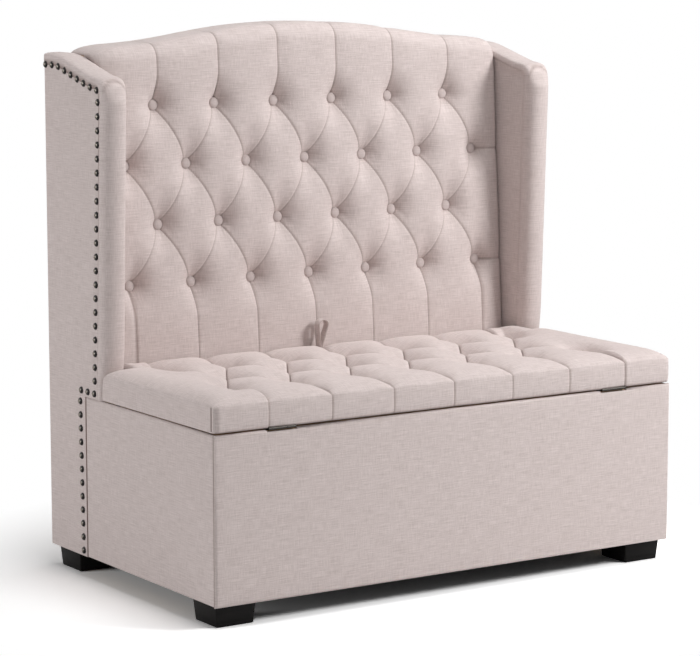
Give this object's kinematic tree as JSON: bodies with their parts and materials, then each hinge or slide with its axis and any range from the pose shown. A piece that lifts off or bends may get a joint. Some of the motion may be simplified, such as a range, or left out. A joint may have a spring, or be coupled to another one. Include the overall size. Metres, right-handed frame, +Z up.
{
  "type": "banquette bench",
  "caption": "Upholstered storage banquette with tufted winged back, nailhead trim and a tufted lid that hinges up from the back by a pull loop",
  "frame": {"origin": "centre of the bench's footprint, on the floor", "axes": "+X to the right in a front view, +Y to the back, +Z up"},
  "size_m": [1.1264, 0.69, 1.139],
  "materials": {
    "linen": "pinkish beige slub linen weave over foam",
    "button_linen": "covered buttons in the same linen weave",
    "timber": "plain pine and plywood, unfinished",
    "foot_black": "black stained hardwood, satin lacquer",
    "nail_bronze": "dark antique bronze, domed",
    "hinge_steel": "zinc plated steel",
    "bolt_steel": "zinc plated steel",
    "strut_black": "black powder coat",
    "rod_chrome": "polished piston rod",
    "dust_cloth": "black non-woven cloth",
    "lining_cloth": "black lining cloth",
    "pad_rubber": "matte rubber"
  },
  "bodies": {
    "bench": {"back_board": "timber", "back_buttons": "button_linen", "back_cushion": "linen", "back_rib_left": "timber", "back_rib_middle": "timber", "back_rib_right": "timber", "corner_blocks": "timber", "dust_cloth": "dust_cloth", "floor_battens": "timber", "floor_board": "timber", "foot_bolts": "bolt_steel", "foot_front_left": "foot_black", "foot_front_right": "foot_black", "foot_rear_left": "foot_black", "foot_rear_right": "foot_black", "frame_bolts": "bolt_steel", "front_board": "timber", "front_cover": "linen", "hinge_box_leaf_left": "hinge_steel", "hinge_box_leaf_right": "hinge_steel", "hinge_pin_left": "hinge_steel", "hinge_pin_right": "hinge_steel", "lower_rail": "timber", "nailheads_left": "nail_bronze", "nailheads_right": "nail_bronze", "rear_board": "timber", "rear_cover": "linen", "rest_pads": "pad_rubber", "side_board_left": "timber", "side_board_right": "timber", "side_cover_left": "linen", "side_cover_right": "linen", "strut_box_bracket_left": "strut_black", "strut_box_bracket_right": "strut_black", "top_rail": "timber", "upper_rail": "timber", "wing_frame_left": "timber", "wing_frame_right": "timber", "wing_pad_left": "linen", "wing_pad_right": "linen", "wing_roll_left": "linen", "wing_roll_right": "linen", "wing_skin_left": "linen", "wing_skin_right": "linen"},
    "lid": {"hinge_lid_leaf_left": "hinge_steel", "hinge_lid_leaf_right": "hinge_steel", "lid_board": "timber", "lid_cushion": "linen", "lid_lining": "lining_cloth", "pull_loop": "linen", "strut_lid_bracket_left": "strut_black", "strut_lid_bracket_right": "strut_black"},
    "strut_tube_left": {"strut_tube_left": "strut_black"},
    "strut_rod_left": {"strut_rod_left": "rod_chrome"},
    "strut_tube_right": {"strut_tube_right": "strut_black"},
    "strut_rod_right": {"strut_rod_right": "rod_chrome"}
  },
  "joints": [
    {"name": "lid_hinge", "type": "hinge", "parent": "bench", "child": "lid", "pos_m": [0, -0.3418, 0.384], "axis": [1, 0, 0], "range_deg": [0, 82]},
    {"name": "strut_tube_pivot_left", "type": "hinge", "parent": "bench", "child": "strut_tube_left", "pos_m": [-0.524, -0.29342, 0.18994], "axis": [1, 0, 0], "range_deg": [0, 41]},
    {"name": "strut_rod_pivot_left", "type": "hinge", "parent": "lid", "child": "strut_rod_left", "pos_m": [-0.524, -0.14229, 0.37005], "axis": [1, 0, 0], "range_deg": [-41, 0]},
    {"name": "strut_tube_pivot_right", "type": "hinge", "parent": "bench", "child": "strut_tube_right", "pos_m": [0.524, -0.29342, 0.18994], "axis": [1, 0, 0], "range_deg": [0, 41]},
    {"name": "strut_rod_pivot_right", "type": "hinge", "parent": "lid", "child": "strut_rod_right", "pos_m": [0.524, -0.14229, 0.37005], "axis": [1, 0, 0], "range_deg": [-41, 0]}
  ],
  "couplings": [
    {"joint": "strut_tube_pivot_left", "follows": "lid_hinge", "ratio": 0.5},
    {"joint": "strut_rod_pivot_left", "follows": "lid_hinge", "ratio": -0.5},
    {"joint": "strut_tube_pivot_right", "follows": "lid_hinge", "ratio": 0.5},
    {"joint": "strut_rod_pivot_right", "follows": "lid_hinge", "ratio": -0.5}
  ]
}
